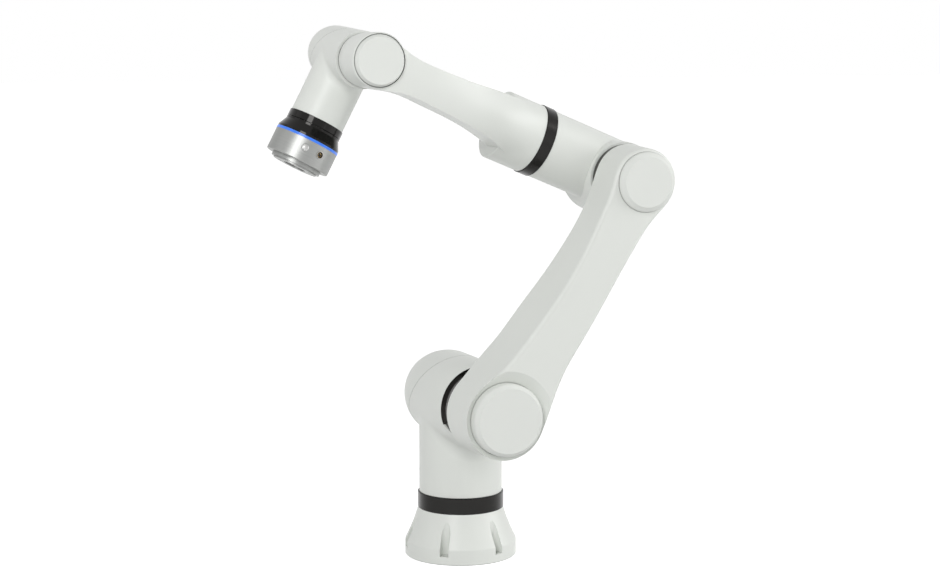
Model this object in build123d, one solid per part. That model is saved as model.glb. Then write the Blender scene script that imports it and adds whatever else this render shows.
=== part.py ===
from build123d import *
import os
from math import atan, cos, degrees, radians, sin

# Lengths are in millimetres. World +Z is up, the base stands on Z = 0 and the first joint turns about Z.
# The upper arm, elbow and forearm carry their round caps on the -Y side, the front.

# Link layout, as the arm is posed in the photograph
shoulder_height = 228.0
upper_length = 382.0
upper_lean = 32.8
forearm_lean = 67.5
elbow_offset = 6.0
forearm_length = 427.0
tool_lean = 207.7
roll_axis_front = 50.5
base_turn = -8.0

elbow_point = (
    upper_length * sin(radians(upper_lean)),
    0,
    shoulder_height + upper_length * cos(radians(upper_lean)),
)
wrist_point = (
    elbow_point[0] + elbow_offset * cos(radians(forearm_lean)) - forearm_length * sin(radians(forearm_lean)),
    0,
    elbow_point[2] + elbow_offset * sin(radians(forearm_lean)) + forearm_length * cos(radians(forearm_lean)),
)

# Clearances
turn_gap = 0.5
bearing_gap = 0.03
wave_gap = 0.05
magnet_gap = 0.6

# Base
foot_radius = 81.0
foot_height = 22.0
foot_round = 5.0
flare_mid_height = 46.0
flare_mid_share = 0.43
base_top_radius = 62.0
base_height = 69.7
base_bore = 57.0
base_floor = 14.0
bolt_inset = 9.0
bolt_count = 6
bolt_hole = 9.0
pocket_width = 13.0
pocket_floor = 12.0
bolt_circle = 2 * (foot_radius - bolt_inset)
socket_height = 34.0
socket_radius = 11.0
socket_angle = 82.0
socket_wall = 2.0
socket_rim = 4.0
socket_seat_share = 0.625
socket_seat = base_bore + socket_seat_share * (foot_radius - base_bore)
socket_back = base_bore + socket_wall
socket_pin_circle = 5.5
socket_pin_radius = 0.6
socket_pin_count = 12
socket_pin_inset = 2.0

# Joint rings, the black bands between links
ring_1_radius = 62.5
ring_1_top = 93.0
ring_2_radius = 55.5
ring_3_radius = 48.5
ring_4_radius = 51.2
ring_5_radius = 34.8
ring_6_radius = 39.3
ring_wall = 5.5
ring_edge = 0.5
ring_lip = 0.8

# Shoulder: a column with a cross hub that narrows to the front and domes at the rear
column_radius = 60.2
column_base = ring_1_top + turn_gap
column_floor = 8.0
shoulder_radius = 64.2
shoulder_nose_radius = 52.0
shoulder_nose = 110.0
shoulder_front = 77.0
shoulder_taper = 20.0
shoulder_dome = 46.0
shoulder_rim_radius = 57.2
shoulder_rim = 82.6
shoulder_flat_radius = 39.6
shoulder_rear = 94.0
shoulder_blend = 24.0
shoulder_chin = 90.0
chin_top = -20.0
chin_slope_end = -32.0
chin_bore = 55.8
ring_flange = 59.2
shoulder_seam = 37.5
shoulder_seam_slope = 0.7
seam_gap = 0.9
cover_wall = 6.0
shoulder_step = 6.0
shoulder_depth = 60.0
column_wall = 7.0

# Upper arm
arm_back = 104.0
arm_elbow_back = 120.0
arm_step_start = 70.0
arm_step_inset = 62.0
arm_front = 180.0
arm_edge = 6.0
arm_wall = 7.0
lower_hub_back = 60.3
lower_hub_front = 57.5
upper_hub_back = 50.5
upper_hub_front = 46.5
recess_radius = 67.5
recess_inner = 51.2
recess_floor = 171.0
lower_bore = 46.0
lower_hollow = 52.0
upper_bore = 37.0
upper_hollow = 40.5
hollow_top = 164.0
lower_arc_end = 10.0
upper_arc_end = 8.0
tunnel_width = 50.0
tunnel_height = 36.0
tunnel_shift = 6.0

# Round caps
cap_2_radius = 50.6
cap_2_face = 45.0
cap_2_front = 190.4
cap_2_back = 171.3
cap_3_radius = 41.7
cap_3_face = 35.0
cap_3_front = 189.0
cap_3_back = 180.5
cap_5_radius = 34.5
cap_5_face = 31.0
cap_5_front = 195.8
cap_5_back = 188.5
cap_bevel = 4.5
cap_edge_width = 1.0
cap_edge_drop = 2.0
cap_plug = 6.0
cap_wall = 3.0
cap_seat_gap = 0.8
plug_gap = 0.15

# Elbow
elbow_radius = 53.0
elbow_front_radius = 51.8
elbow_front = 108.0
elbow_taper = 90.0
elbow_rear = -1.0
elbow_rear_round = 14.0
elbow_tube_radius = 50.0
elbow_tube_end = 117.5
elbow_step = 10.0

# Forearm
barrel_start = 134.5
barrel_end = 189.0
barrel_radius = 50.0
barrel_bore = 43.0
barrel_round = 3.0
fore_hub_radius = 37.0
fore_hub_back_radius = 35.3
fore_hub_back = 126.0
fore_hub_front = 191.5
fore_hub_edge = 4.0
fore_bore = 30.0
fore_wall = 5.5
fore_duct = 14.0
fore_duct_front = 156.0
fore_duct_length = 45.0
fore_hub_taper = 20.0

# Wrist
wrist_radius = 38.6
wrist_front = 122.8
wrist_nose = 20.0
wrist_tilt = 3.8
wrist_dome = 131.5
wrist_rim_radius = 33.2
wrist_rim = 158.8
wrist_flat_radius = 22.0
wrist_rear = 165.3
wrist_seam = -12.0
wrist_seam_slope = -1.2
wrist_tube_radius = 38.0
wrist_tube_end = 93.4
wrist_blend = 10.0
wrist_wall = 5.5
wrist_step = 4.0

# Tool end
ring_6_end = 103.7
collar_start = 104.2
collar_top_radius = 39.3
tool_radius = 45.0
collar_end = 121.8
light_end = 125.3
tool_end = 156.0
tool_edge = 1.0
boss_radius = 35.4
boss_end = 161.0
spigot_radius = 31.5
spigot_end = 163.0
flange_circle = 50.0
flange_hole = 2.5
flange_bore = 15.75
flange_bore_depth = 6.0
tool_wall = 5.0
tool_plate = 14.0
flange_hole_depth = 15.0
flange_hole_count = 4
collar_land = 3.0
collar_taper_end = 5.0
collar_wall = 9.0
light_width = 5.0
light_proud = 0.2
button_height = 137.0
button_angle = 76.7
button_radius = 4.6
button_travel = 1.2
button_gap = 0.2
button_moat = 1.2
button_moat_depth = 0.6
button_proud = 0.2
button_collar = 1.5
button_collar_width = 3.3
switch_gap = 0.3
switch_side = 8.0
switch_depth = 4.0
plug_height = 137.0
plug_angle = 105.7
plug_radius = 5.4
plug_wall = 1.1
plug_depth = 9.0
plug_proud = 0.6
plug_floor = 2.0
plug_key_width = 2.4
plug_key_depth = 3.0
plug_pin_circle = 2.6
plug_pin_radius = 0.4
plug_pin_length = 1.2
plug_pin_count = 8

# Strain-wave drives, shared proportions: radii as shares of the bore, depths as shares of the depth
wave_share = 0.56
bearing_share = 0.78
magnet_share = 0.55
gear_share = 0.38
wave_low_share = 0.34
wave_high_share = 0.22
stator_low_share = 0.82
stator_high_share = 0.46
shield_share = 0.88
board_share = 0.97
cup_wall = 1.5
shaft_wall = 2.5
board_thick = 1.6
magnet_depth = 6.0
magnet_web = 2.0
spacer_wall = 3.0
shaft_room = 4.0

# Strain-wave drives: housing bore radius, depth, hollow shaft radius
drive_1 = (base_bore, 54.0, 14.0)
drive_2 = (52.0, 80.0, 14.0)
drive_3 = (43.0, 88.0, 10.0)
drive_4 = (42.0, 58.0, 10.0)
drive_5 = (31.0, 78.0, 6.0)
drive_6 = (32.0, 50.0, 6.0)


def shoulder_frame(shape):
    """Moves a shape built around the second joint into the world."""
    return Pos(0, 0, shoulder_height) * shape


def upper_frame(shape):
    """Moves a shape built along the upper arm (local Z) into the world."""
    return Pos(0, 0, shoulder_height) * Rot(0, upper_lean, 0) * shape


def forearm_frame(shape):
    """Moves a shape built along the forearm (local Z) into the world."""
    return Pos(*elbow_point) * Rot(0, -forearm_lean, 0) * shape


def wrist_frame(shape):
    """Moves a shape built along the tool axis (local Z) into the world."""
    return Pos(*wrist_point) * Rot(0, tool_lean, 0) * shape


def facing(shape):
    """Turns local Z to the front, world -Y."""
    return Rot(90, 0, 0) * shape


def turned(outline):
    """Solid of revolution about Z from (radius, height) points."""
    points = [(radius, 0, height) for radius, height in outline]
    return revolve(make_face(Polyline(*points, close=True)), Axis.Z)


def rod(radius, low, high):
    """Cylinder on Z between two heights."""
    return Pos(0, 0, low) * Cylinder(radius, high - low, align=(Align.CENTER, Align.CENTER, Align.MIN))


def band(outer, inner, low, high):
    """Plain ring on Z between two heights."""
    return rod(outer, low, high) - rod(inner, low - 1, high + 1)


def joint_band(outer, low, high):
    """Joint ring with softened outer edges."""
    inner = outer - ring_wall
    return turned([
        (inner, low),
        (outer - ring_edge, low),
        (outer, low + ring_edge),
        (outer, high - ring_edge),
        (outer - ring_edge, high),
        (inner, high),
    ])


def drive(size, reach):
    """Strain-wave drive with its output plane at Z = 0, its body below and its flange up to reach."""
    radius, depth, shaft = size
    wave_radius = wave_share * radius
    bearing_radius = bearing_share * radius
    magnet_radius = magnet_share * radius
    shaft_outer = shaft + shaft_wall
    gear_low = -gear_share * depth
    wave_low = -wave_low_share * depth
    wave_high = -wave_high_share * depth
    stator_low = -stator_low_share * depth
    stator_high = -stator_high_share * depth
    shield_low = -shield_share * depth
    board_low = -board_share * depth
    gear_ring = turned([
        (bearing_radius + bearing_gap, 0),
        (bearing_radius + bearing_gap, gear_low / 2),
        (wave_radius + cup_wall + 2 * wave_gap, gear_low / 2),
        (wave_radius + cup_wall + 2 * wave_gap, gear_low),
        (radius, gear_low),
        (radius, 0),
    ])
    output = turned([
        (shaft_outer + 1, reach),
        (shaft_outer + 1, gear_low / 4),
        (wave_radius, gear_low / 4),
        (wave_radius, gear_low),
        (wave_radius + cup_wall, gear_low),
        (wave_radius + cup_wall, gear_low / 2 + wave_gap),
        (bearing_radius, gear_low / 2 + wave_gap),
        (bearing_radius, reach),
    ])
    rotor = turned([
        (shaft, -depth),
        (shaft_outer, -depth),
        (shaft_outer, stator_low),
        (magnet_radius - magnet_depth, stator_low),
        (magnet_radius - magnet_depth, stator_low + magnet_web),
        (magnet_radius, stator_low + magnet_web),
        (magnet_radius, stator_high),
        (shaft_outer, stator_high),
        (shaft_outer, wave_low),
        (wave_radius - wave_gap, wave_low),
        (wave_radius - wave_gap, wave_high),
        (shaft_outer, wave_high),
        (shaft_outer, 0),
        (shaft, 0),
    ])
    stator = turned([
        (magnet_radius + magnet_gap, stator_high),
        (magnet_radius + magnet_gap, stator_low - 1),
        (shaft_outer + bearing_gap, stator_low - 1),
        (shaft_outer + bearing_gap, shield_low),
        (radius, shield_low),
        (radius, stator_high),
    ])
    board = band(radius, shaft_outer + shaft_wall, board_low, board_low + board_thick)
    spacer = band(radius, radius - spacer_wall, board_low + board_thick, shield_low)
    return {
        "gear_ring": gear_ring,
        "flexspline": output,
        "rotor": rotor,
        "stator": stator,
        "board": board + spacer,
    }


def round_cap(radius, face, front, back, plug):
    """Round cover with a bevelled rim and a plug that enters the bore behind it."""
    return turned([
        (0, front),
        (face, front),
        (radius - cap_edge_width, front - cap_bevel),
        (radius, front - cap_bevel - cap_edge_drop),
        (radius, back),
        (plug, back),
        (plug, back - cap_plug),
        (plug - cap_wall, back - cap_plug),
        (plug - cap_wall, back + cap_wall),
        (0, back + cap_wall),
    ])


def base_housing():
    """Flared base casting with six bolt pockets, open at the top for the first drive."""
    with BuildSketch(Plane.XZ) as section:
        with BuildLine():
            Line((base_bore, base_floor), (0, base_floor))
            Line((0, base_floor), (0, 0))
            Line((0, 0), (foot_radius - 1, 0))
            Line((foot_radius - 1, 0), (foot_radius, 1))
            Line((foot_radius, 1), (foot_radius, foot_height))
            ThreePointArc(
                (foot_radius, foot_height),
                (base_top_radius + flare_mid_share * (foot_radius - base_top_radius), flare_mid_height),
                (base_top_radius, base_height),
            )
            Line((base_top_radius, base_height), (base_bore, base_height))
            Line((base_bore, base_height), (base_bore, base_floor))
        make_face()
    body = revolve(section.sketch, Axis.Z)
    flare = foot_radius - base_top_radius
    rim = body.edges().filter_by(GeomType.CIRCLE).filter_by(lambda e: abs(e.radius - foot_radius) < 0.1)
    body = fillet(rim.sort_by(Axis.Z)[-1], min(foot_round, flare / 3))
    pocket = Pos(bolt_circle / 2, 0, pocket_floor) * Cylinder(
        pocket_width / 2, base_height, align=(Align.CENTER, Align.CENTER, Align.MIN)
    )
    pocket += Pos(bolt_circle / 2, 0, pocket_floor) * Box(
        pocket_width * 2, pocket_width, base_height, align=(Align.MIN, Align.CENTER, Align.MIN)
    )
    hole = Pos(bolt_circle / 2, 0, -1) * Cylinder(
        bolt_hole / 2, base_height, align=(Align.CENTER, Align.CENTER, Align.MIN)
    )
    for step in range(bolt_count):
        turn = Rot(0, 0, base_turn + step * 360 / bolt_count)
        body -= turn * (pocket + hole)
    body -= socket_place() * rod(socket_radius, base_bore - 2, foot_radius + 1)
    body -= socket_place() * rod(socket_radius + socket_rim, socket_seat, foot_radius + 1)
    return body


def socket_place():
    """Place of the cable socket in the back of the base, local Z pointing outward."""
    return Rot(0, 0, socket_angle) * Pos(0, 0, socket_height) * Rot(0, 90, 0)


def domed(front, taper_end, dome_start, rim, flat):
    """Solid of revolution about Z: a curved front taper, a shallow dome behind it and a rounded flat end."""
    with BuildSketch(Plane.XZ) as section:
        with BuildLine():
            Line((0, flat[1]), (0, front[1]))
            Line((0, front[1]), front)
            if front[0] == dome_start[0]:
                Line(front, dome_start)
            else:
                TangentArc((dome_start[0], taper_end), front, tangent=(0, 1))
                Line((dome_start[0], taper_end), dome_start)
            dome = TangentArc(dome_start, rim, tangent=(0, -1))
            TangentArc(rim, flat, tangent=dome % 1)
            Line(flat, (0, flat[1]))
        make_face()
    return revolve(section.sketch, Axis.Z)


def shoulder_hub(inset):
    """Shoulder cross hub about local Z, which points to the front: curved taper, then a dome behind."""
    return domed(
        (shoulder_nose_radius - inset, shoulder_nose),
        shoulder_taper,
        (shoulder_radius - inset, -shoulder_dome),
        (shoulder_rim_radius - inset, inset / 2 - shoulder_rim),
        (shoulder_flat_radius - inset, inset - shoulder_rear),
    )


def behind_seam(place, slope, offset):
    """Everything behind a sloping seam, local Z to the front and local Y towards the column or tube."""
    side = 2 * upper_length
    box = Box(side, side, side, align=(Align.CENTER, Align.CENTER, Align.MAX))
    return Pos(0, 0, offset - place) * Rot(degrees(atan(slope)), 0, 0) * box


def chin_cut():
    """Space in front of the shoulder hub that leaves only the chin below the joint ring."""
    reach = 2 * shoulder_radius
    profile = Polyline(
        (0, reach, shoulder_front),
        (0, chin_top, shoulder_front),
        (0, chin_slope_end, shoulder_chin),
        (0, -reach, shoulder_chin),
        (0, -reach, reach),
        (0, reach, reach),
        close=True,
    )
    return extrude(make_face(profile), reach, both=True)


def shoulder_outside():
    """Column and cross hub blended into each other, with the rear cover still in one piece."""
    column = rod(column_radius, column_base, shoulder_height)
    hub = shoulder_frame(facing(shoulder_hub(0)))
    both = column + hub
    both = fillet(new_edges(column, hub, combined=both), shoulder_blend)
    return both - shoulder_frame(facing(chin_cut()))


def shoulder_cavity():
    """Hollow of the shoulder: the drive bore at the front and the cable space in the column."""
    radius, depth, shaft = drive_2
    bore = rod(radius, shoulder_front - depth, shoulder_front + 1)
    rear = rod(radius - shoulder_step, -shoulder_depth, shoulder_front)
    ring_room = rod(chin_bore, shoulder_front, shoulder_chin + 1)
    column = rod(column_radius - column_wall, column_base + column_floor, shoulder_height)
    duct = rod(drive_1[2] + shaft_room, column_base - 1, shoulder_height)
    return shoulder_frame(facing(bore + rear + ring_room)) + column + duct


def shoulder_pieces(outside):
    """Shoulder casting and its rear cover, parted at the seam."""
    cover = outside & shoulder_frame(facing(behind_seam(shoulder_seam, shoulder_seam_slope, -seam_gap / 2)))
    cover -= shoulder_frame(facing(shoulder_hub(cover_wall)))
    housing = outside - shoulder_frame(facing(behind_seam(shoulder_seam, shoulder_seam_slope, seam_gap / 2)))
    return housing - shoulder_cavity(), cover


def on_circle(radius, along, angle):
    """Point at an angle on a circle whose centre lies along the arm."""
    return (radius * cos(radians(angle)), along + radius * sin(radians(angle)))


def arm_outline(lower, upper, left, right, height):
    """Closed face of the upper arm's outline at one depth: two hub arcs joined by side curves.

    A side curve is a list of (across as a share of the upper hub, along as a share of the arm's length).
    """
    right = [(across * upper_hub_back, along * upper_length) for across, along in right]
    left = [(across * upper_hub_back, along * upper_length) for across, along in left]
    lower_arc = (180 - lower_arc_end, 270, lower_arc_end)
    upper_arc = (-upper_arc_end, 90, 180 + upper_arc_end)
    lower_ends = [on_circle(lower, 0, angle) for angle in lower_arc]
    upper_ends = [on_circle(upper, upper_length, angle) for angle in upper_arc]
    lower_slope = (sin(radians(lower_arc_end)), cos(radians(lower_arc_end)))
    upper_slope = (sin(radians(upper_arc_end)), cos(radians(upper_arc_end)))
    with BuildSketch(Plane.XY.offset(height)) as outline:
        with BuildLine():
            ThreePointArc(*lower_ends)
            Spline(
                lower_ends[2], *right, upper_ends[0],
                tangents=[(-lower_slope[0], lower_slope[1]), upper_slope],
            )
            ThreePointArc(*upper_ends)
            Spline(
                upper_ends[2], *left, lower_ends[0],
                tangents=[(upper_slope[0], -upper_slope[1]), (-lower_slope[0], -lower_slope[1])],
            )
        make_face()
    return outline.sketch


def upper_arm_outside():
    """Upper arm from its rear plane to its front face, with a softened front edge."""
    right = [
        (0.921, 0.157), (0.812, 0.241), (0.792, 0.393), (0.782, 0.537), (0.752, 0.681), (0.743, 0.798), (0.782, 0.89),
    ]
    left_back = [
        (-0.871, 0.906), (-0.752, 0.825), (-0.693, 0.654), (-0.743, 0.513), (-0.822, 0.39), (-0.911, 0.236),
        (-1.05, 0.131),
    ]
    left_front = [
        (-0.752, 0.906), (-0.653, 0.825), (-0.515, 0.654), (-0.495, 0.513), (-0.564, 0.39), (-0.703, 0.236),
        (-0.871, 0.131),
    ]
    back = arm_outline(lower_hub_back, upper_hub_back, left_back, right, arm_back)
    front = arm_outline(lower_hub_front, upper_hub_front, left_front, right, arm_front)
    body = loft([back, front], ruled=True)
    body = fillet(body.faces().sort_by(Axis.Z)[-1].edges(), arm_edge)
    reach = 2 * upper_length
    step = Polyline(
        (0, arm_step_start, arm_back),
        (0, upper_length - arm_step_inset, arm_elbow_back),
        (0, reach, arm_elbow_back),
        (0, reach, 0),
        (0, arm_step_start, 0),
        close=True,
    )
    return body - extrude(make_face(step), reach, both=True)


def upper_arm():
    """Hollow upper arm with a cap bore at each end and the dished recess round the lower cap."""
    body = upper_arm_outside()
    body -= turned([
        (0, recess_floor),
        (recess_inner, recess_floor),
        (recess_radius, arm_front),
        (recess_radius, arm_front + 5),
        (0, arm_front + 5),
    ])
    lower_low = arm_back + arm_wall
    upper_low = arm_elbow_back + arm_wall
    body -= rod(lower_bore, lower_low, arm_front)
    body -= rod(lower_hollow, lower_low, hollow_top)
    body -= Pos(0, upper_length, 0) * rod(upper_bore, upper_low, arm_front + 1)
    body -= Pos(0, upper_length, 0) * rod(upper_hollow, upper_low, hollow_top)
    body -= Pos(0, upper_length, 0) * rod(cap_3_radius + cap_seat_gap, cap_3_back - seam_gap, arm_front + 1)
    tunnel = Box(tunnel_width, upper_length, tunnel_height, align=(Align.CENTER, Align.MIN, Align.MIN))
    body -= Pos(tunnel_shift, 0, upper_low) * tunnel
    body -= rod(drive_2[2] + shaft_room, arm_back - 1, lower_low + 1)
    body -= Pos(0, upper_length, 0) * rod(drive_3[2] + shaft_room, arm_elbow_back - 1, upper_low + 1)
    return upper_frame(facing(body))


def elbow_outside():
    """Elbow casting: cross hub round the third joint and the tube towards the fourth."""
    hub = turned([
        (0, elbow_rear),
        (elbow_radius, elbow_rear),
        (elbow_radius, elbow_taper),
        (elbow_front_radius, elbow_front),
        (0, elbow_front),
    ])
    hub = fillet(hub.edges().sort_by(Axis.Z)[0], elbow_rear_round)
    tube = Pos(elbow_offset, -roll_axis_front, 0) * rod(elbow_tube_radius, 0, elbow_tube_end)
    return facing(hub) + tube


def elbow_housing():
    """Hollow elbow with the bores of the third and fourth drives."""
    body = elbow_outside()
    radius, depth, shaft = drive_3
    body -= facing(rod(radius, elbow_front - depth, elbow_front + 1))
    radius, depth, shaft = drive_4
    low = elbow_tube_end - depth
    body -= Pos(elbow_offset, -roll_axis_front, 0) * rod(radius, low, elbow_tube_end + 1)
    body -= Pos(elbow_offset, -roll_axis_front, 0) * rod(radius - elbow_step, 0, low + 1)
    return forearm_frame(body)


def forearm_section(place, bottom, top, crease, front, back):
    """One cross section of the forearm: a bowed front face and a flat back, square to its length."""
    mid = (bottom + top) / 2
    with BuildSketch(Plane.XY.offset(place)) as section:
        with BuildLine():
            ThreePointArc((bottom, crease), (mid, front), (top, crease))
            Line((top, crease), (top, back))
            Line((top, back), (bottom, back))
            Line((bottom, back), (bottom, crease))
        make_face()
    return section.sketch


def forearm_blade(inset):
    """Tapering front part of the forearm from the barrel to the wrist hub.

    A row is (share of the way from the barrel's start to the hub, bottom, top, crease, front, back).
    """
    rows = [
        (0, -49.5, 49.5, -50.5, -100, -40),
        (0.094, -41, 45, -74, -104, -42),
        (0.186, -33, 40, -97, -113, -48),
        (0.299, -29, 36, -122, -131, -70),
        (0.419, -27.5, 31, -145, -151, -97),
        (0.556, -26.5, 26, -164, -168, -115),
        (0.692, -25.8, 23, -178, -180.5, -123),
        (0.795, -25.6, 22.5, -184, -186, -127),
        (0.88, -29.5, 25.5, -187, -188.5, -127.5),
        (0.949, -34, 31, -187.5, -189, -128),
    ]
    if inset:
        rows = rows[1:-1]
    sections = []
    for share, bottom, top, crease, front, back in rows:
        place = barrel_start + share * (forearm_length - barrel_start)
        sections.append(
            forearm_section(place, bottom + inset, top - inset, crease + inset, front + inset, back - inset)
        )
    return Pos(elbow_offset, 0, 0) * loft(sections)


def forearm():
    """Hollow forearm: barrel at the fourth joint, blade and the hub of the fifth joint."""
    axis = Pos(elbow_offset, -roll_axis_front, 0)
    barrel = rod(barrel_radius, barrel_start, barrel_end)
    barrel = fillet(barrel.edges().sort_by(Axis.Z)[-1], barrel_round)
    hub = turned([
        (0, fore_hub_back),
        (fore_hub_back_radius, fore_hub_back),
        (fore_hub_radius, fore_hub_back + fore_hub_taper),
        (fore_hub_radius, fore_hub_front),
        (0, fore_hub_front),
    ])
    hub = fillet(hub.edges().sort_by(Axis.Z)[-1], fore_hub_edge)
    hub_place = Pos(elbow_offset, 0, forearm_length)
    body = axis * barrel + forearm_blade(0) + hub_place * facing(hub)
    body -= axis * rod(barrel_bore, barrel_start + fore_wall, barrel_end - fore_wall)
    body -= forearm_blade(fore_wall)
    duct = rod(fore_duct, forearm_length - fore_duct_length, forearm_length)
    body -= Pos(elbow_offset, -fore_duct_front, 0) * duct
    body -= axis * rod(drive_4[2] + shaft_room, barrel_start - 1, barrel_start + fore_wall + 1)
    body -= hub_place * facing(rod(fore_bore, fore_hub_back + fore_wall, fore_hub_front + 1))
    body -= hub_place * facing(rod(cap_5_radius + cap_seat_gap, cap_5_back - seam_gap, fore_hub_front + 1))
    body -= hub_place * facing(rod(drive_5[2] + shaft_room, fore_hub_back - 1, fore_hub_back + fore_wall + 1))
    return forearm_frame(body)


def wrist_hub(inset):
    """Wrist cross hub about local Z, which points to the front; its domed rear leans away from the tool."""
    hub = domed(
        (wrist_radius - inset, wrist_nose),
        wrist_nose,
        (wrist_radius - inset, -wrist_dome),
        (wrist_rim_radius - inset, inset / 2 - wrist_rim),
        (wrist_flat_radius - inset, inset - wrist_rear),
    )
    hub = Pos(0, 0, wrist_front) * Rot(-wrist_tilt, 0, 0) * hub
    return hub - rod(3 * wrist_radius, wrist_front, wrist_front + 3 * wrist_nose)


def wrist_outside():
    """Cross hub of the fifth joint blended into the tube of the sixth."""
    hub = facing(wrist_hub(0))
    tube = Pos(0, -roll_axis_front, 0) * rod(wrist_tube_radius, 0, wrist_tube_end)
    both = hub + tube
    return fillet(new_edges(hub, tube, combined=both), wrist_blend)


def wrist_pieces():
    """Wrist casting and its rear cover."""
    outside = wrist_outside()
    cover = outside & facing(behind_seam(wrist_seam, wrist_seam_slope, -seam_gap / 2))
    cover -= facing(wrist_hub(wrist_wall))
    housing = outside - facing(behind_seam(wrist_seam, wrist_seam_slope, seam_gap / 2))
    radius, depth, shaft = drive_5
    housing -= facing(rod(radius, wrist_front - depth, wrist_front + 1))
    housing -= facing(rod(radius - wrist_step, 0, wrist_front))
    radius, depth, shaft = drive_6
    housing -= Pos(0, -roll_axis_front, 0) * rod(radius, wrist_tube_end - depth, wrist_tube_end + 1)
    housing -= Pos(0, -roll_axis_front, 0) * rod(shaft + shaft_room, 0, wrist_tube_end)
    return wrist_frame(housing), wrist_frame(cover)


def on_tool(shape):
    """Places a shape built round the tool axis."""
    return wrist_frame(Pos(0, -roll_axis_front, 0) * shape)


def side_place(height, angle):
    """Place on the tool body's side: local Z points outward at an angle from across to front."""
    return Rot(0, 0, -angle) * Pos(0, 0, height) * Rot(0, 90, 0)


def tool_collar():
    """Black collar that widens from the joint ring to the tool body."""
    duct = drive_6[2] + shaft_room
    inner = tool_radius - collar_wall
    return turned([
        (duct, collar_start),
        (collar_top_radius, collar_start),
        (collar_top_radius, collar_start + collar_land),
        (tool_radius - tool_edge, collar_end - collar_taper_end),
        (tool_radius, collar_end - collar_land),
        (tool_radius, collar_end),
        (duct, collar_end),
        (duct, collar_end - collar_land),
        (inner, collar_end - collar_land),
        (inner, collar_start + collar_land),
        (duct, collar_start + collar_land),
    ])


def light_ring():
    """Translucent status light ring."""
    return band(tool_radius + light_proud, tool_radius - light_width, collar_end, light_end)


def tool_body():
    """Steel tool body with its stepped boss, bolt pattern, button hole and connector hole."""
    body = turned([
        (flange_bore, spigot_end),
        (spigot_radius, spigot_end),
        (spigot_radius, boss_end),
        (boss_radius, boss_end),
        (boss_radius, tool_end),
        (tool_radius - tool_edge, tool_end),
        (tool_radius, tool_end - tool_edge),
        (tool_radius, light_end),
        (tool_radius - tool_wall, light_end),
        (tool_radius - tool_wall, spigot_end - tool_plate),
        (0, spigot_end - tool_plate),
        (0, spigot_end - flange_bore_depth),
        (flange_bore, spigot_end - flange_bore_depth),
    ])
    for step in range(flange_hole_count):
        hole = Rot(0, 0, 360 * (step + 0.5) / flange_hole_count) * Pos(flange_circle / 2, 0, 0)
        body -= hole * rod(flange_hole, spigot_end - flange_hole_depth, spigot_end + 1)
    button = side_place(button_height, button_angle)
    body -= button * rod(button_radius + button_gap, 0, tool_radius + 1)
    body -= button * rod(button_radius + button_moat, tool_radius - button_moat_depth, tool_radius + 1)
    body -= side_place(plug_height, plug_angle) * rod(plug_radius, 0, tool_radius + 1)
    return body


def collar_seat():
    """Outward end of the button's collar, clear of the round wall when the button is released."""
    across = button_radius + button_collar
    wall = tool_radius - tool_wall
    return (wall ** 2 - across ** 2) ** 0.5 - switch_gap


def teach_button():
    """Round push button in the tool body's side, held in by a collar behind the wall."""
    high = collar_seat()
    low = high - button_collar_width
    button = rod(button_radius, low, tool_radius + button_proud)
    button += rod(button_radius + button_collar, low, high)
    return side_place(button_height, button_angle) * button


def button_switch():
    """Switch block behind the button, standing on the tool body's end plate."""
    face = collar_seat() - button_collar_width - button_travel - switch_gap
    reach = spigot_end - tool_plate - button_height
    block = Pos(switch_side / 2, 0, face) * Box(
        reach + switch_side / 2, switch_side, switch_depth, align=(Align.MAX, Align.CENTER, Align.MAX)
    )
    return side_place(button_height, button_angle) * block


def tool_plug():
    """Round tool connector: threaded shell with a keyed pin insert."""
    inner = plug_radius - plug_wall
    low = tool_radius - plug_depth
    floor = tool_radius - plug_floor
    shell = band(plug_radius, inner, low, tool_radius + plug_proud)
    shell -= Pos(plug_radius, 0, tool_radius) * Box(plug_key_depth, plug_key_width, plug_key_depth)
    insert = rod(inner, low, floor)
    for step in range(plug_pin_count):
        turn = Rot(0, 0, step * 360 / plug_pin_count)
        insert += turn * Pos(plug_pin_circle, 0, 0) * rod(plug_pin_radius, floor - 1, floor + plug_pin_length)
    return side_place(plug_height, plug_angle) * shell, side_place(plug_height, plug_angle) * insert


def base_socket():
    """Cable socket in the back of the base: metal shell and its pin insert."""
    inner = socket_radius - socket_wall
    floor = (socket_back + socket_seat) / 2
    shell = band(socket_radius, inner, socket_back, socket_seat + socket_rim)
    shell += band(socket_radius + socket_rim - 1, inner, socket_seat, socket_seat + socket_rim - 1)
    insert = rod(inner, socket_back, floor)
    for step in range(socket_pin_count):
        place = Rot(0, 0, step * 360 / socket_pin_count) * Pos(socket_pin_circle, 0, 0)
        insert += place * rod(socket_pin_radius, socket_back, socket_seat - socket_pin_inset)
    return socket_place() * shell, socket_place() * insert


def shoulder_ring():
    """Second joint ring with a thin lip over the hub's front face, open where the chin stands."""
    lip = rod(ring_flange, shoulder_front, shoulder_front + ring_lip) - rod(ring_2_radius - 1, 0, arm_back)
    lip -= Pos(0, chin_top, shoulder_front) * Box(
        3 * ring_flange, 3 * ring_flange, 10, align=(Align.CENTER, Align.MAX, Align.CENTER)
    )
    return joint_band(ring_2_radius, shoulder_front, arm_back - turn_gap) + lip


def wrist_seal_ring():
    """Thin sealing ring between the wrist and the forearm's hub."""
    ring = band(ring_5_radius, ring_5_radius - ring_wall, wrist_front, fore_hub_back - turn_gap)
    return Pos(*wrist_point) * facing(ring)


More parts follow.
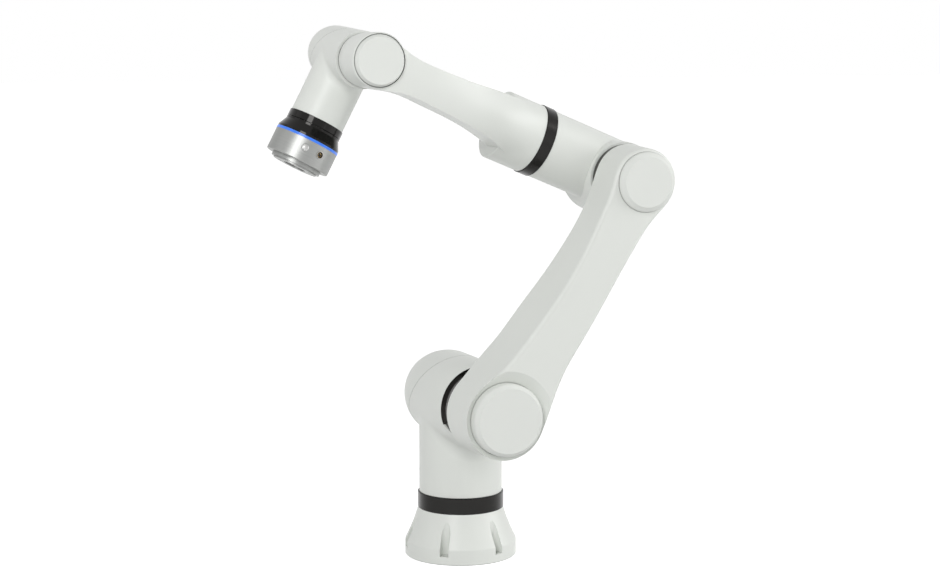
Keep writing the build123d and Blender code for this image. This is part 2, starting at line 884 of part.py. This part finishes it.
def build():
    """Every named piece of the arm in its place."""
    pieces = {"base_housing": base_housing()}
    pieces["joint_1_ring"] = joint_band(ring_1_radius, base_height, ring_1_top)
    pieces["cable_socket"], pieces["cable_socket_pins"] = base_socket()
    shoulder, cover = shoulder_pieces(shoulder_outside())
    pieces["shoulder_housing"] = shoulder
    pieces["shoulder_rear_cover"] = cover
    pieces["joint_2_ring"] = shoulder_frame(facing(shoulder_ring()))
    pieces["upper_arm"] = upper_arm()
    lower_cap = round_cap(cap_2_radius, cap_2_face, cap_2_front, cap_2_back, lower_bore - plug_gap)
    pieces["lower_arm_cap"] = upper_frame(facing(lower_cap))
    upper_cap = round_cap(cap_3_radius, cap_3_face, cap_3_front, cap_3_back, upper_bore - plug_gap)
    pieces["upper_arm_cap"] = upper_frame(facing(Pos(0, upper_length, 0) * upper_cap))
    pieces["joint_5_ring"] = wrist_seal_ring()
    ring = joint_band(ring_3_radius, elbow_front, arm_elbow_back - turn_gap)
    pieces["joint_3_ring"] = forearm_frame(facing(ring))
    pieces["elbow_housing"] = elbow_housing()
    roll = Pos(elbow_offset, -roll_axis_front, 0)
    ring = joint_band(ring_4_radius, elbow_tube_end, barrel_start - turn_gap)
    pieces["joint_4_ring"] = forearm_frame(roll * ring)
    pieces["forearm"] = forearm()
    hub = Pos(elbow_offset, 0, forearm_length)
    fore_cap = round_cap(cap_5_radius, cap_5_face, cap_5_front, cap_5_back, fore_bore - plug_gap)
    pieces["forearm_cap"] = forearm_frame(hub * facing(fore_cap))
    pieces["wrist_housing"], pieces["wrist_rear_cover"] = wrist_pieces()
    pieces["joint_6_ring"] = on_tool(joint_band(ring_6_radius, wrist_tube_end, ring_6_end))
    pieces["tool_collar"] = on_tool(tool_collar())
    pieces["light_ring"] = on_tool(light_ring())
    pieces["tool_body"] = on_tool(tool_body())
    pieces["teach_button"] = on_tool(teach_button())
    pieces["button_switch"] = on_tool(button_switch())
    shell, insert = tool_plug()
    pieces["tool_connector"] = on_tool(shell)
    pieces["tool_connector_pins"] = on_tool(insert)
    front = Rot(90, 0, 0)
    tool_end_on = Pos(0, -roll_axis_front, 0)
    shoulder_axis = Pos(0, 0, shoulder_height) * front
    elbow_axis = Pos(*elbow_point) * front
    roll_axis = Pos(*elbow_point) * Rot(0, -forearm_lean, 0) * roll
    wrist_axis = Pos(*wrist_point) * front
    tool_axis = Pos(*wrist_point) * Rot(0, tool_lean, 0) * tool_end_on
    drives = [
        (drive_1, Pos(0, 0, 0), base_height, column_base),
        (drive_2, shoulder_axis, shoulder_front, arm_back),
        (drive_3, elbow_axis, elbow_front, arm_elbow_back),
        (drive_4, roll_axis, elbow_tube_end, barrel_start),
        (drive_5, wrist_axis, wrist_front, fore_hub_back),
        (drive_6, tool_axis, wrist_tube_end, collar_start),
    ]
    for number, (size, axis, face, driven) in enumerate(drives, start=1):
        for name, shape in drive(size, driven - face).items():
            pieces[f"joint_{number}_{name}"] = axis * Pos(0, 0, face) * shape
    return pieces


os.makedirs("parts", exist_ok=True)
for name, shape in build().items():
    export_step(shape, f"parts/{name}.step")
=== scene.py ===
from math import radians

import bpy
from mathutils import Euler, Matrix, Vector


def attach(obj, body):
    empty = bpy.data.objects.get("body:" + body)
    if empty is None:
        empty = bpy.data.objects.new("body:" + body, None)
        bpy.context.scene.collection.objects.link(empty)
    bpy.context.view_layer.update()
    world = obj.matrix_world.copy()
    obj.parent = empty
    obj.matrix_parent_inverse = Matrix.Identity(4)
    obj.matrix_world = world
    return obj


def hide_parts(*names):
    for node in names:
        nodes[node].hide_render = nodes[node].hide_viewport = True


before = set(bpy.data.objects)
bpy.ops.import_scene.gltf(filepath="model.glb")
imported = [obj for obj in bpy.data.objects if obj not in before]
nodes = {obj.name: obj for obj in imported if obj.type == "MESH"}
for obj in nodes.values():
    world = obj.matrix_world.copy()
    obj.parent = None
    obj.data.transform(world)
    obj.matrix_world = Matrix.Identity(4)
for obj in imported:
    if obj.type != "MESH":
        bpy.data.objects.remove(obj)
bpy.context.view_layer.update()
bpy.ops.object.select_all(action="DESELECT")


# Camera: the photograph's own standpoint, a little left of the arm's front and slightly above it.
# The place and lens come from fitting the round joints' ellipses; the picture is 940 by 587.
camera_data = bpy.data.cameras.new("camera")
camera = bpy.data.objects.new("camera", camera_data)
bpy.context.scene.collection.objects.link(camera)
camera.location = (-1.0283, -2.6768, 0.7494)
camera.rotation_euler = Euler((radians(90 - 7.31), 0, radians(-21.29)))
camera_data.sensor_width = 36
camera_data.lens = 2005.1 * 36 / 940
camera_data.clip_end = 100
bpy.context.scene.camera = camera
bpy.context.scene.view_settings.view_transform = "Standard"


# Studio: a pale matt floor under the arm, an even white surround and large soft lamps,
# so that the castings show soft bands of light and the black rings show clear reflections.
def seen_directly(tree, unseen, seen):
    """One level for what the camera, metal or glass sees, and another for the light on the object."""
    path = tree.nodes.new("ShaderNodeLightPath")
    rays = path.outputs["Is Camera Ray"]
    for other in ("Is Glossy Ray", "Is Transmission Ray"):
        either = tree.nodes.new("ShaderNodeMath")
        either.operation = "MAXIMUM"
        tree.links.new(rays, either.inputs[0])
        tree.links.new(path.outputs[other], either.inputs[1])
        rays = either.outputs[0]
    level = tree.nodes.new("ShaderNodeMapRange")
    level.inputs["To Min"].default_value = unseen
    level.inputs["To Max"].default_value = seen
    tree.links.new(rays, level.inputs["Value"])
    return level.outputs["Result"]


world = bpy.data.worlds.new("surround")
bpy.context.scene.world = world
world.use_nodes = True
sky = world.node_tree.nodes["Background"]
sky.inputs["Color"].default_value = (1, 1, 1, 1)
world.node_tree.links.new(seen_directly(world.node_tree, 0.4, 1), sky.inputs["Strength"])

bpy.ops.mesh.primitive_plane_add(size=60, location=(0, 0, 0))
floor = bpy.context.object
floor.name = "studio_floor"
floor_paint = bpy.data.materials.new("floor_white")
floor_paint.use_nodes = True
floor_tree = floor_paint.node_tree
floor_shader = floor_tree.nodes["Principled BSDF"]
floor_shader.inputs["Base Color"].default_value = (0.7, 0.7, 0.7, 1)
floor_shader.inputs["Roughness"].default_value = 0.9
floor_shader.inputs["Emission Color"].default_value = (1, 1, 1, 1)
floor_tree.links.new(seen_directly(floor_tree, 0, 0.75), floor_shader.inputs["Emission Strength"])
floor.data.materials.append(floor_paint)
bpy.ops.object.select_all(action="DESELECT")


def soft_lamp(name, place, target, width, height, power):
    """Large rectangular lamp that faces a point."""
    data = bpy.data.lights.new(name, "AREA")
    data.shape = "RECTANGLE"
    data.size = width
    data.size_y = height
    data.energy = power
    lamp = bpy.data.objects.new(name, data)
    bpy.context.scene.collection.objects.link(lamp)
    lamp.location = place
    lamp.rotation_euler = (Vector(target) - Vector(place)).to_track_quat("-Z", "Y").to_euler()


soft_lamp("lamp_right", (2.2, -0.9, 1.1), (0.1, 0, 0.6), 1.2, 2.2, 28)
soft_lamp("lamp_front_left", (-1.7, -2.1, 1.7), (0, 0, 0.6), 0.9, 2.0, 38)
soft_lamp("lamp_front_right", (1.3, -2.6, 1.2), (0, 0, 0.4), 1.0, 2.0, 3)
soft_lamp("lamp_left", (-2.3, 0.2, 0.9), (0, 0, 0.4), 1.0, 2.0, 2.5)


# Base: an aluminium casting in smooth white paint that flares out to the foot, with six open screw
# pockets cut round it. It bolts to the bench and carries the first drive.
def white_paint(name, colour=(0.762, 0.783, 0.746), roughness=0.38, shine=0.38):
    """Smooth two-coat paint: even white, faint orange peel, slightly uneven gloss, and painted shade that
    darkens it in creases and in the gaps between parts.
    """
    material = bpy.data.materials.new(name)
    material.use_nodes = True
    tree = material.node_tree
    shader = tree.nodes["Principled BSDF"]
    place = tree.nodes.new("ShaderNodeTexCoord")
    cloud = tree.nodes.new("ShaderNodeTexNoise")
    cloud.inputs["Scale"].default_value = 9
    cloud.inputs["Detail"].default_value = 2
    tree.links.new(place.outputs["Object"], cloud.inputs["Vector"])
    tone = tree.nodes.new("ShaderNodeValToRGB")
    tone.color_ramp.elements[0].color = (colour[0] * 0.985, colour[1] * 0.985, colour[2] * 0.985, 1)
    tone.color_ramp.elements[1].color = (colour[0] * 1.015, colour[1] * 1.015, colour[2] * 1.015, 1)
    tree.links.new(cloud.outputs["Fac"], tone.inputs["Fac"])
    # Painted shade: where other surfaces lie close, in creases, seams and the gaps between parts, the colour
    # is mixed towards a dark grey.
    crease = tree.nodes.new("ShaderNodeAmbientOcclusion")
    crease.samples = 8
    crease.inputs["Distance"].default_value = 0.003
    crease_shade = tree.nodes.new("ShaderNodeMapRange")
    crease_shade.inputs["From Min"].default_value = 0.3
    crease_shade.inputs["From Max"].default_value = 0.7
    crease_shade.inputs["To Min"].default_value = 0.65
    crease_shade.inputs["To Max"].default_value = 0
    tree.links.new(crease.outputs["AO"], crease_shade.inputs["Value"])
    painted_shade = tree.nodes.new("ShaderNodeMix")
    painted_shade.data_type = "RGBA"
    painted_shade.inputs["B"].default_value = (colour[0] * 0.15, colour[1] * 0.15, colour[2] * 0.15, 1)
    tree.links.new(crease_shade.outputs["Result"], painted_shade.inputs["Factor"])
    tree.links.new(tone.outputs["Color"], painted_shade.inputs["A"])
    tree.links.new(painted_shade.outputs["Result"], shader.inputs["Base Color"])
    gloss = tree.nodes.new("ShaderNodeMapRange")
    gloss.inputs["To Min"].default_value = roughness - 0.04
    gloss.inputs["To Max"].default_value = roughness + 0.04
    tree.links.new(cloud.outputs["Fac"], gloss.inputs["Value"])
    tree.links.new(gloss.outputs["Result"], shader.inputs["Roughness"])
    peel = tree.nodes.new("ShaderNodeTexNoise")
    peel.inputs["Scale"].default_value = 420
    peel.inputs["Detail"].default_value = 1
    tree.links.new(place.outputs["Object"], peel.inputs["Vector"])
    bump = tree.nodes.new("ShaderNodeBump")
    bump.inputs["Strength"].default_value = 0.04
    bump.inputs["Distance"].default_value = 0.0004
    tree.links.new(peel.outputs["Fac"], bump.inputs["Height"])
    tree.links.new(bump.outputs["Normal"], shader.inputs["Normal"])
    shader.inputs["Specular IOR Level"].default_value = shine
    shader.inputs["Coat Weight"].default_value = shine / 6
    shader.inputs["Coat Roughness"].default_value = 0.3
    return material


def finish_node(name, material):
    """Gives a CAD node its finish."""
    node = nodes[name]
    node.data.materials.clear()
    node.data.materials.append(material)


casting_paint = white_paint("casting_paint")
finish_node("base_housing", casting_paint)


# Joint rings: turned rings of black-anodised metal in the gap of each joint, each on its own axis,
# with the fine circular lines of the lathe.
def axis_vector(tree, centre, tilt):
    """Coordinates of a piece measured from its own axis, whose local Z runs along it."""
    place = tree.nodes.new("ShaderNodeTexCoord")
    axis = tree.nodes.new("ShaderNodeMapping")
    axis.vector_type = "TEXTURE"
    axis.inputs["Location"].default_value = centre
    axis.inputs["Rotation"].default_value = tilt
    tree.links.new(place.outputs["Object"], axis.inputs["Vector"])
    return axis.outputs["Vector"]


def turned_metal(name, centre, tilt, colour, roughness, lines, coat=0.0):
    """Metal turned round an axis: fine lines run round it in height, a little uneven in gloss."""
    material = bpy.data.materials.new(name)
    material.use_nodes = True
    tree = material.node_tree
    shader = tree.nodes["Principled BSDF"]
    stretch = tree.nodes.new("ShaderNodeMapping")
    stretch.inputs["Scale"].default_value = (14, 14, 2600)
    tree.links.new(axis_vector(tree, centre, tilt), stretch.inputs["Vector"])
    streak = tree.nodes.new("ShaderNodeTexNoise")
    streak.inputs["Scale"].default_value = 1
    streak.inputs["Detail"].default_value = 3
    tree.links.new(stretch.outputs["Vector"], streak.inputs["Vector"])
    gloss = tree.nodes.new("ShaderNodeMapRange")
    gloss.inputs["To Min"].default_value = roughness - 0.07
    gloss.inputs["To Max"].default_value = roughness + 0.07
    tree.links.new(streak.outputs["Fac"], gloss.inputs["Value"])
    tree.links.new(gloss.outputs["Result"], shader.inputs["Roughness"])
    tone = tree.nodes.new("ShaderNodeValToRGB")
    tone.color_ramp.elements[0].color = (colour[0] * 0.85, colour[1] * 0.85, colour[2] * 0.85, 1)
    tone.color_ramp.elements[1].color = (colour[0] * 1.15, colour[1] * 1.15, colour[2] * 1.15, 1)
    tree.links.new(streak.outputs["Fac"], tone.inputs["Fac"])
    tree.links.new(tone.outputs["Color"], shader.inputs["Base Color"])
    bump = tree.nodes.new("ShaderNodeBump")
    bump.inputs["Strength"].default_value = lines
    bump.inputs["Distance"].default_value = 0.0001
    tree.links.new(streak.outputs["Fac"], bump.inputs["Height"])
    tree.links.new(bump.outputs["Normal"], shader.inputs["Normal"])
    shader.inputs["Metallic"].default_value = 1
    shader.inputs["Coat Weight"].default_value = coat
    shader.inputs["Coat Roughness"].default_value = 0.08
    return material


shoulder_point = (0, 0, 0.228)
elbow_point = (0.20693, 0, 0.54910)
elbow_roll_point = (0.20923, -0.0505, 0.55464)
wrist_point = (-0.18527, 0, 0.71805)
tool_point = (-0.18527, -0.0505, 0.71805)
upright = (0, 0, 0)
to_front = (radians(90), 0, 0)
along_forearm = (0, radians(-67.5), 0)
along_tool = (0, radians(207.7), 0)
anodised = (0.026, 0.0255, 0.0245)
ring_axes = {
    "joint_1_ring": (upright, upright),
    "joint_2_ring": (shoulder_point, to_front),
    "joint_3_ring": (elbow_point, to_front),
    "joint_4_ring": (elbow_roll_point, along_forearm),
    "joint_5_ring": (wrist_point, to_front),
}
for ring, (centre, tilt) in ring_axes.items():
    finish_node(ring, turned_metal(ring + "_anodised", centre, tilt, anodised, 0.24, 0.25))


# The second and third rings sit deep in the gap between a hub and the arm; they are polished, so that they
# pick up the white castings on either side.
polished = (0.085, 0.082, 0.078)
for ring in ("joint_2_ring", "joint_3_ring"):
    centre, tilt = ring_axes[ring]
    finish_node(ring, turned_metal(ring + "_polished", centre, tilt, polished, 0.15, 0.1))


# Shoulder, elbow and wrist: hollow aluminium castings in the same white paint as the base. Screwed covers
# in the same paint close the rear of the shoulder and of the wrist along a thin sloping seam.
for casting in (
    "shoulder_housing", "shoulder_rear_cover", "elbow_housing", "wrist_housing", "wrist_rear_cover",
):
    finish_node(casting, casting_paint)


# Upper arm and forearm: long hollow castings in the same paint, screwed to the driven side of the joint
# below and carrying the round caps at their ends.
for casting in ("upper_arm", "forearm"):
    finish_node(casting, casting_paint)


# Round caps: moulded plastic covers with a bevelled rim, coloured to match the paint. Their plugs snap
# into the ends of the arm castings and leave a thin dark gap all round.
cap_plastic = white_paint("cap_plastic", (0.775, 0.795, 0.76), 0.62, 0.12)
for cap in ("lower_arm_cap", "upper_arm_cap", "forearm_cap"):
    finish_node(cap, cap_plastic)


# Tool end, black part: the polished joint ring and the collar that widens to the tool body, both turned
# from aluminium and anodised glossy black.
black_gloss = turned_metal("black_gloss", tool_point, along_tool, (0.016, 0.0155, 0.015), 0.1, 0.05, 0.2)
finish_node("joint_6_ring", black_gloss)
finish_node("tool_collar", black_gloss)


# Tool body: turned stainless steel with a satin face, a stepped boss and a spigot for the tool.
steel = turned_metal("turned_steel", tool_point, along_tool, (0.3, 0.305, 0.297), 0.4, 0.3)
finish_node("tool_body", steel)


# Status light: a moulded ring of blue translucent plastic between the collar and the steel body,
# lit from inside by small lamps spaced round it.
def round_wave(tree, vector, count):
    """A value that swings between -1 and 1 a number of times round an axis."""
    split = tree.nodes.new("ShaderNodeSeparateXYZ")
    tree.links.new(vector, split.inputs["Vector"])
    angle = tree.nodes.new("ShaderNodeMath")
    angle.operation = "ARCTAN2"
    tree.links.new(split.outputs["Y"], angle.inputs[0])
    tree.links.new(split.outputs["X"], angle.inputs[1])
    turns = tree.nodes.new("ShaderNodeMath")
    turns.operation = "MULTIPLY"
    turns.inputs[1].default_value = count
    tree.links.new(angle.outputs[0], turns.inputs[0])
    wave = tree.nodes.new("ShaderNodeMath")
    wave.operation = "SINE"
    tree.links.new(turns.outputs[0], wave.inputs[0])
    return wave.outputs[0]


lamp_count = 16
light = bpy.data.materials.new("status_light")
light.use_nodes = True
light_tree = light.node_tree
light_shader = light_tree.nodes["Principled BSDF"]
light_shader.inputs["Base Color"].default_value = (0.025, 0.12, 0.5, 1)
light_shader.inputs["Roughness"].default_value = 0.25
light_shader.inputs["Emission Color"].default_value = (0.04, 0.2, 0.9, 1)
lamp_wave = round_wave(light_tree, axis_vector(light_tree, tool_point, along_tool), lamp_count)
light_level = light_tree.nodes.new("ShaderNodeMapRange")
light_level.inputs["From Min"].default_value = -1
light_level.inputs["To Min"].default_value = 0.42
light_level.inputs["To Max"].default_value = 0.5
light_tree.links.new(lamp_wave, light_level.inputs["Value"])
light_tree.links.new(light_level.outputs["Result"], light_shader.inputs["Emission Strength"])
finish_node("light_ring", light)


# Teach button: a satin steel push button with a raised rim and a raised middle, turned in one piece with
# the collar that holds it behind the tool body's wall. It slides into the body on its own spring.
def side_place(centre, tilt, height, angle):
    """Place on the side of a round body, local Z pointing outward."""
    axis = Matrix.Translation(centre) @ Euler(tilt).to_matrix().to_4x4()
    return (
        axis @ Matrix.Rotation(radians(-angle), 4, "Z") @ Matrix.Translation((0, 0, height))
        @ Matrix.Rotation(radians(90), 4, "Y")
    )


def add_rod(place, radius, low, high, sides=96):
    """Cylinder between two heights on the local Z of a place."""
    bpy.ops.mesh.primitive_cylinder_add(
        vertices=sides, radius=radius, depth=high - low,
        location=place @ Vector((0, 0, (low + high) / 2)), rotation=place.to_euler(),
    )
    return bpy.context.object


def pick_faces(piece, wanted):
    """Enters edit mode with those faces selected whose centre and normal pass the test."""
    bpy.ops.object.mode_set(mode="EDIT")
    bpy.ops.mesh.select_mode(type="FACE")
    bpy.ops.mesh.select_all(action="DESELECT")
    bpy.ops.object.mode_set(mode="OBJECT")
    for face in piece.data.polygons:
        face.select = wanted(face.center, face.normal)
    bpy.ops.object.mode_set(mode="EDIT")


def cut_across(piece, place, height):
    """Cuts a new edge round a piece at a height on the local Z of a place."""
    pick_faces(piece, lambda centre, normal: True)
    bpy.ops.mesh.bisect(plane_co=place @ Vector((0, 0, height)), plane_no=place.to_3x3() @ Vector((0, 0, 1)))
    bpy.ops.object.mode_set(mode="OBJECT")


def settle(piece, name, bevel):
    """Rounds the sharp edges, smooths the shading and leaves the piece at the origin, unrotated."""
    bpy.ops.object.mode_set(mode="OBJECT")
    bpy.ops.object.select_all(action="DESELECT")
    piece.select_set(True)
    bpy.context.view_layer.objects.active = piece
    bpy.ops.object.transform_apply(location=True, rotation=True, scale=True)
    soft = piece.modifiers.new("soft_edges", "BEVEL")
    soft.width = bevel
    soft.segments = 2
    soft.limit_method = "ANGLE"
    soft.angle_limit = radians(40)
    bpy.ops.object.modifier_apply(modifier="soft_edges")
    bpy.ops.object.shade_smooth_by_angle(angle=radians(30))
    piece.name = name
    piece.data.name = name
    bpy.ops.object.select_all(action="DESELECT")


button_low, button_seat, button_high = 0.03593, 0.03923, 0.0452
button_radius, button_collar = 0.0046, 0.0015
rim_width, moat_width, moat_depth, draft = 0.0007, 0.0003, 0.0005, 0.00012
button_place = side_place(tool_point, along_tool, 0.137, 76.7)
button = add_rod(button_place, button_radius, button_low, button_high)
cut_across(button, button_place, button_seat)
collar_top = (button_seat - button_high) / 2
pick_faces(button, lambda centre, normal: abs(normal.z) < 0.5 and centre.z < collar_top)
bpy.ops.mesh.extrude_region_shrink_fatten(TRANSFORM_OT_shrink_fatten={"value": button_collar})
pick_faces(button, lambda centre, normal: normal.z > 0.9 and centre.z > 0.004)
bpy.ops.mesh.inset(thickness=rim_width, depth=0)
bpy.ops.mesh.inset(thickness=draft, depth=-moat_depth)
bpy.ops.mesh.inset(thickness=moat_width, depth=0)
bpy.ops.mesh.inset(thickness=draft, depth=moat_depth)
settle(button, "teach_button_top", 0.0001)
button_steel = turned_metal(
    "button_steel", button_place.translation, tuple(button_place.to_euler()), (0.5, 0.5, 0.49), 0.3, 0.25
)
button.data.materials.append(button_steel)
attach(button, "teach_button")
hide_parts("teach_button")
finish_node("button_switch", white_paint("switch_plastic", (0.02, 0.02, 0.021), 0.45))


# Tool connector: a nickel-plated screw socket let into the tool body, with a black insert and eight
# gold-plated pins. Tools plug in here.
def shell_piece(place, radius, wall, low, high, floor):
    """Tube with a closed back: a rod whose outer end is sunk to the floor."""
    shell = add_rod(place, radius, low, high)
    pick_faces(shell, lambda centre, normal: normal.z > 0.9)
    bpy.ops.mesh.inset(thickness=wall, depth=0)
    bpy.ops.mesh.inset(thickness=0.00008, depth=floor - high)
    bpy.ops.object.mode_set(mode="OBJECT")
    return shell


def pin_circle(place, circle, radius, low, high, count, name):
    """Pins with rounded tips spaced round a circle, as one piece."""
    first = add_rod(place @ Matrix.Translation((circle, 0, 0)), radius, low, high, 16)
    pick_faces(first, lambda centre, normal: normal.z > 0.9)
    bpy.ops.mesh.inset(thickness=radius * 0.45, depth=radius * 0.5)
    bpy.ops.object.mode_set(mode="OBJECT")
    pins = [first]
    for step in range(1, count):
        pin = first.copy()
        pin.data = first.data.copy()
        bpy.context.scene.collection.objects.link(pin)
        pin.matrix_world = (
            place @ Matrix.Rotation(radians(360 * step / count), 4, "Z")
            @ Matrix.Translation((circle, 0, (low + high) / 2))
        )
        pins.append(pin)
    bpy.ops.object.select_all(action="DESELECT")
    for pin in pins:
        pin.select_set(True)
    bpy.context.view_layer.objects.active = first
    bpy.ops.object.join()
    settle(first, name, radius * 0.1)
    return first


plug_radius, plug_wall = 0.0054, 0.0011
plug_low, plug_floor, plug_high = 0.0385, 0.0400, 0.0456
insert_radius, insert_low, insert_high = 0.0042, 0.0390, 0.0430
insert_rim, insert_rise = 0.0006, 0.0003
contact_circle, contact_radius, contact_low, contact_high = 0.0026, 0.0004, 0.0425, 0.0442
plug_place = side_place(tool_point, along_tool, 0.137, 105.7)
plug_tilt = tuple(plug_place.to_euler())
plug = shell_piece(plug_place, plug_radius, plug_wall, plug_low, plug_high, plug_floor)
settle(plug, "tool_connector_shell", 0.00015)
nickel = turned_metal("connector_nickel", plug_place.translation, plug_tilt, (0.34, 0.33, 0.31), 0.22, 0.4)
plug.data.materials.append(nickel)
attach(plug, "tool_end")
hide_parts("tool_connector")

insert_black = white_paint("insert_black", (0.012, 0.012, 0.013), 0.5)
plug_insert = add_rod(plug_place, insert_radius, insert_low, insert_high)
pick_faces(plug_insert, lambda centre, normal: normal.z > 0.9)
bpy.ops.mesh.inset(thickness=insert_rim, depth=0)
bpy.ops.mesh.inset(thickness=0.0001, depth=insert_rise)
settle(plug_insert, "tool_connector_insert", 0.0001)
plug_insert.data.materials.append(insert_black)
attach(plug_insert, "tool_end")
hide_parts("tool_connector_pins")

gold = turned_metal("pin_gold", plug_place.translation, plug_tilt, (0.78, 0.55, 0.22), 0.25, 0.1)
plug_pins = pin_circle(
    plug_place, contact_circle, contact_radius, contact_low, contact_high, 8, "tool_connector_contacts"
)
plug_pins.data.materials.append(gold)
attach(plug_pins, "tool_end")


# Cable socket in the back of the base: a turned metal shell with a flange against the casting, a black
# insert and a circle of gold-plated pins. The lead itself is not in the photograph.
socket_place = side_place(upright, upright, 0.034, -82)
socket_tilt = tuple(socket_place.to_euler())
socket_radius, socket_wall = 0.011, 0.002
socket_low, socket_floor, socket_high = 0.059, 0.062, 0.076
flange_low, flange_high, flange_reach = 0.072, 0.075, 0.003
socket = shell_piece(socket_place, socket_radius, socket_wall, socket_low, socket_high, socket_floor)
cut_across(socket, socket_place, flange_low)
cut_across(socket, socket_place, flange_high)
socket_mid = (socket_low + socket_high) / 2
pick_faces(
    socket,
    lambda centre, normal: abs(normal.z) < 0.5
    and flange_low - socket_mid < centre.z < flange_high - socket_mid
    and centre.xy.length > socket_radius - socket_wall / 4,
)
bpy.ops.mesh.extrude_region_shrink_fatten(TRANSFORM_OT_shrink_fatten={"value": flange_reach})
settle(socket, "cable_socket_shell", 0.0003)
plated = turned_metal("socket_nickel", socket_place.translation, socket_tilt, (0.4, 0.39, 0.37), 0.28, 0.3)
socket.data.materials.append(plated)
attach(socket, "base")
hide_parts("cable_socket")

socket_insert = add_rod(socket_place, 0.0088, 0.060, 0.0655)
settle(socket_insert, "cable_socket_insert", 0.0002)
socket_insert.data.materials.append(insert_black)
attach(socket_insert, "base")
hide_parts("cable_socket_pins")

socket_pins = pin_circle(socket_place, 0.0055, 0.0006, 0.065, 0.070, 12, "cable_socket_contacts")
socket_pins.data.materials.append(gold)
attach(socket_pins, "base")


# Strain-wave drives, one behind each black ring: a hardened gear ring, a thin flexible cup that drives
# the next link, a rotor with its magnets, a stator wound with enamelled copper and a control board.
def wound_copper(name, centre, tilt, slots):
    """Copper coils between dark iron teeth, spaced round an axis, with fine lines for the wire."""
    material = bpy.data.materials.new(name)
    material.use_nodes = True
    tree = material.node_tree
    shader = tree.nodes["Principled BSDF"]
    axis = axis_vector(tree, centre, tilt)
    tone = tree.nodes.new("ShaderNodeValToRGB")
    tone.color_ramp.elements[0].position = 0.35
    tone.color_ramp.elements[0].color = (0.06, 0.06, 0.065, 1)
    tone.color_ramp.elements[1].position = 0.45
    tone.color_ramp.elements[1].color = (0.62, 0.24, 0.09, 1)
    tree.links.new(round_wave(tree, axis, slots), tone.inputs["Fac"])
    tree.links.new(tone.outputs["Color"], shader.inputs["Base Color"])
    wire = tree.nodes.new("ShaderNodeTexWave")
    wire.bands_direction = "Z"
    wire.inputs["Scale"].default_value = 900
    wire.inputs["Distortion"].default_value = 0.6
    tree.links.new(axis, wire.inputs["Vector"])
    bump = tree.nodes.new("ShaderNodeBump")
    bump.inputs["Strength"].default_value = 0.5
    bump.inputs["Distance"].default_value = 0.0002
    tree.links.new(wire.outputs["Fac"], bump.inputs["Height"])
    tree.links.new(bump.outputs["Normal"], shader.inputs["Normal"])
    shader.inputs["Metallic"].default_value = 0.8
    shader.inputs["Roughness"].default_value = 0.38
    return material


def board_lacquer(name):
    """Green solder mask with lighter tracks and small dark components."""
    material = bpy.data.materials.new(name)
    material.use_nodes = True
    tree = material.node_tree
    shader = tree.nodes["Principled BSDF"]
    place = tree.nodes.new("ShaderNodeTexCoord")
    tracks = tree.nodes.new("ShaderNodeTexBrick")
    tracks.inputs["Color1"].default_value = (0.012, 0.14, 0.04, 1)
    tracks.inputs["Color2"].default_value = (0.014, 0.17, 0.05, 1)
    tracks.inputs["Mortar"].default_value = (0.05, 0.33, 0.1, 1)
    tracks.inputs["Scale"].default_value = 160
    tracks.inputs["Mortar Size"].default_value = 0.04
    tree.links.new(place.outputs["Object"], tracks.inputs["Vector"])
    chips = tree.nodes.new("ShaderNodeTexVoronoi")
    chips.distance = "CHEBYCHEV"
    chips.inputs["Scale"].default_value = 140
    tree.links.new(place.outputs["Object"], chips.inputs["Vector"])
    where = tree.nodes.new("ShaderNodeMapRange")
    where.inputs["From Min"].default_value = 0.18
    where.inputs["From Max"].default_value = 0.2
    where.inputs["To Min"].default_value = 1
    where.inputs["To Max"].default_value = 0
    tree.links.new(chips.outputs["Distance"], where.inputs["Value"])
    both = tree.nodes.new("ShaderNodeMix")
    both.data_type = "RGBA"
    tree.links.new(where.outputs["Result"], both.inputs["Factor"])
    tree.links.new(tracks.outputs["Color"], both.inputs["A"])
    both.inputs["B"].default_value = (0.015, 0.015, 0.016, 1)
    tree.links.new(both.outputs["Result"], shader.inputs["Base Color"])
    shader.inputs["Roughness"].default_value = 0.35
    return material


drive_axes = [
    (upright, upright),
    (shoulder_point, to_front),
    (elbow_point, to_front),
    (elbow_roll_point, along_forearm),
    (wrist_point, to_front),
    (tool_point, along_tool),
]
green_board = board_lacquer("green_board")
for number, (centre, tilt) in enumerate(drive_axes, start=1):
    joint = f"joint_{number}_"
    finish_node(joint + "gear_ring", turned_metal(joint + "gear", centre, tilt, (0.4, 0.4, 0.41), 0.3, 0.4))
    finish_node(
        joint + "flexspline", turned_metal(joint + "cup", centre, tilt, (0.48, 0.47, 0.45), 0.26, 0.2)
    )
    finish_node(joint + "rotor", turned_metal(joint + "magnets", centre, tilt, (0.3, 0.3, 0.32), 0.2, 0.1))
    finish_node(joint + "stator", wound_copper(joint + "coils", centre, tilt, 24))
    finish_node(joint + "board", green_board)
